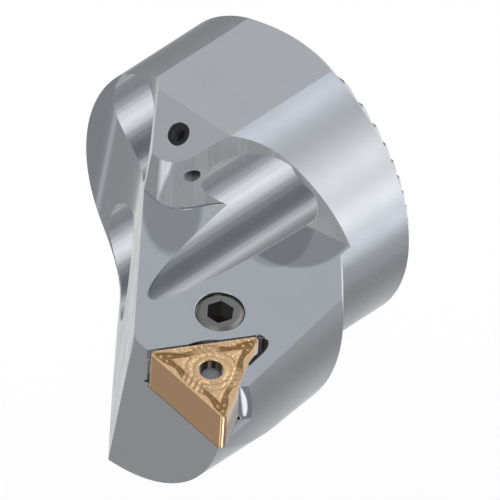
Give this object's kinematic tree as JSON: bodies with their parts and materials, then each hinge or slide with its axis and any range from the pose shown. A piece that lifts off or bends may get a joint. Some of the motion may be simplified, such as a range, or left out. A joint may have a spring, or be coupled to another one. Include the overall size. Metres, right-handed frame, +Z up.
{
  "type": "indexable internal turning head",
  "caption": "Exchangeable boring head with a serrated rear face, a milled chip space, a coolant outlet and a triangular insert held by a lever and a socket screw.",
  "frame": {"origin": "centre of the rear coupling face, on the axis of the boring bar, at the crests of the teeth", "axes": "+Y runs back along the bar's axis, +X points to the side of the cutting corner, +Z is up, square to the flat on the shank"},
  "size_m": [0.038, 0.032, 0.0325],
  "materials": {
    "body": "satin",
    "insert": "satin hard coating",
    "lever": "hardened",
    "screw": "blackened",
    "plug": "blackened"
  },
  "bodies": {
    "head": {"holder_body": "body", "insert": "insert", "coolant_plug": "plug"},
    "lever": {"clamp_lever": "lever"},
    "screw": {"lever_screw": "screw"}
  },
  "joints": [
    {"name": "screw_travel", "type": "slide", "parent": "head", "child": "screw", "axis": [0.1579, -0.0985, 0.9825], "range_m": [0, 0.00035]},
    {"name": "lever_rock", "type": "hinge", "parent": "head", "child": "lever", "pos_m": [0.01592, -0.02798, -0.00564], "axis": [0.7782, 0.6249, -0.0624], "range_deg": [0, 4.06]}
  ],
  "couplings": [
    {"joint": "lever_rock", "follows": "screw_travel", "rad_per_m": 202.02}
  ]
}
